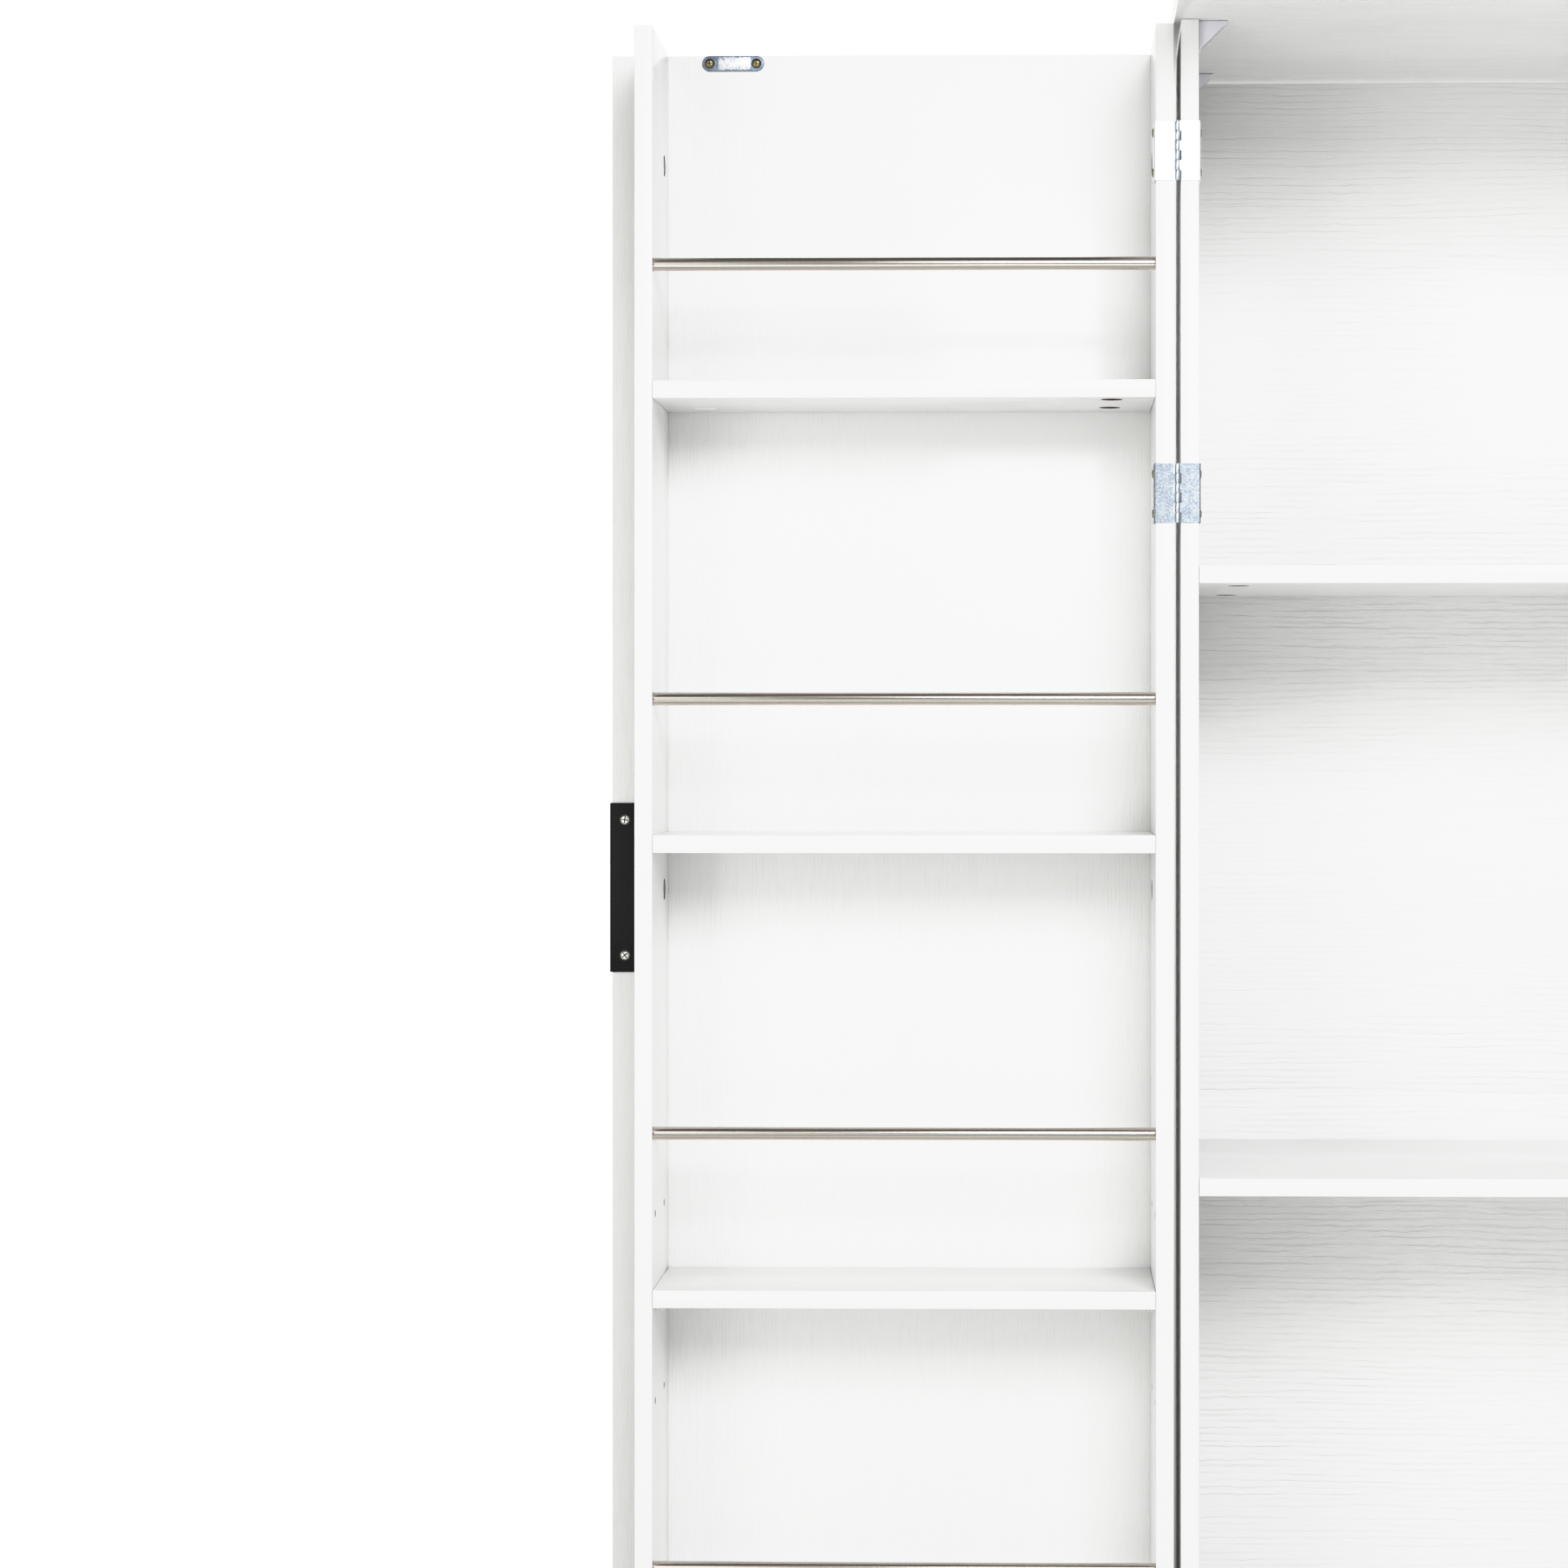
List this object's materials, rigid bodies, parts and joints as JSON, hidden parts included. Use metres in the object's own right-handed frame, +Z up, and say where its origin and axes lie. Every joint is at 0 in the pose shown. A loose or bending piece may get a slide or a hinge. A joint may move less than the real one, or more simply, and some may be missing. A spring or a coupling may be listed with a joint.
{
  "type": "pantry cabinet",
  "caption": "Free-standing white pantry cabinet: open shelved case with two hinged rack doors, each with shelves, steel rails, an edge pull and a magnetic catch.",
  "frame": {"origin": "on the floor, under the middle of the top board", "axes": "+X to the right, +Y to the back, +Z up; the cabinet faces -Y and both doors are open by 180 degrees at rest"},
  "size_m": [1.5914, 0.4, 1.27],
  "materials": {
    "white_laminate": "satin white melamine with an embossed wood grain",
    "back_board": "satin white printed hardboard with a fine grain",
    "white_plastic": "moulded, slightly glossy",
    "grey_plastic": "moulded, matt",
    "brushed_rail": "satin nickel tube, brushed along its length",
    "zinc_sheet": "galvanised, finely spangled",
    "black_metal": "matt black powder coat"
  },
  "bodies": {
    "cabinet": {"top_board": "white_laminate", "bottom_board": "white_laminate", "left_side_panel": "white_laminate", "right_side_panel": "white_laminate", "back_panel_upper": "back_board", "back_panel_lower": "back_board", "upper_shelf": "white_laminate", "lower_shelf": "white_laminate", "plinth_front": "white_laminate", "plinth_back": "white_laminate", "plinth_left": "white_laminate", "plinth_right": "white_laminate", "glide_left_front": "grey_plastic", "glide_left_rear": "grey_plastic", "glide_right_front": "grey_plastic", "glide_right_rear": "grey_plastic", "corner_brace_left_front": "white_plastic", "corner_brace_left_rear": "white_plastic", "corner_brace_right_front": "white_plastic", "corner_brace_right_rear": "white_plastic", "magnetic_catch_left": "grey_plastic", "magnetic_catch_right": "grey_plastic", "left_top_hinge_cabinet_leaf": "zinc_sheet", "left_second_hinge_cabinet_leaf": "zinc_sheet", "left_bottom_hinge_cabinet_leaf": "zinc_sheet", "right_top_hinge_cabinet_leaf": "zinc_sheet", "right_second_hinge_cabinet_leaf": "zinc_sheet", "right_bottom_hinge_cabinet_leaf": "zinc_sheet"},
    "left_door": {"left_door_panel": "white_laminate", "left_door_hinge_upright": "white_laminate", "left_door_free_upright": "white_laminate", "left_door_shelf_1": "white_laminate", "left_door_shelf_2": "white_laminate", "left_door_shelf_3": "white_laminate", "left_door_shelf_4": "white_laminate", "left_door_rail_1": "brushed_rail", "left_door_rail_2": "brushed_rail", "left_door_rail_3": "brushed_rail", "left_door_rail_4": "brushed_rail", "left_door_strike_plate": "zinc_sheet", "left_door_edge_pull": "black_metal", "left_door_top_hinge_leaf": "zinc_sheet", "left_door_second_hinge_leaf": "zinc_sheet", "left_door_bottom_hinge_leaf": "zinc_sheet"},
    "right_door": {"right_door_panel": "white_laminate", "right_door_hinge_upright": "white_laminate", "right_door_free_upright": "white_laminate", "right_door_shelf_1": "white_laminate", "right_door_shelf_2": "white_laminate", "right_door_shelf_3": "white_laminate", "right_door_shelf_4": "white_laminate", "right_door_rail_1": "brushed_rail", "right_door_rail_2": "brushed_rail", "right_door_rail_3": "brushed_rail", "right_door_rail_4": "brushed_rail", "right_door_strike_plate": "zinc_sheet", "right_door_edge_pull": "black_metal", "right_door_top_hinge_leaf": "zinc_sheet", "right_door_second_hinge_leaf": "zinc_sheet", "right_door_bottom_hinge_leaf": "zinc_sheet"}
  },
  "joints": [
    {"name": "left_door_hinge", "type": "hinge", "parent": "cabinet", "child": "left_door", "pos_m": [-0.398, -0.0645, 0.6655], "axis": [0, 0, 1], "range_deg": [0, 180]},
    {"name": "right_door_hinge", "type": "hinge", "parent": "cabinet", "child": "right_door", "pos_m": [0.398, -0.0645, 0.6655], "axis": [0, 0, -1], "range_deg": [0, 180]}
  ]
}
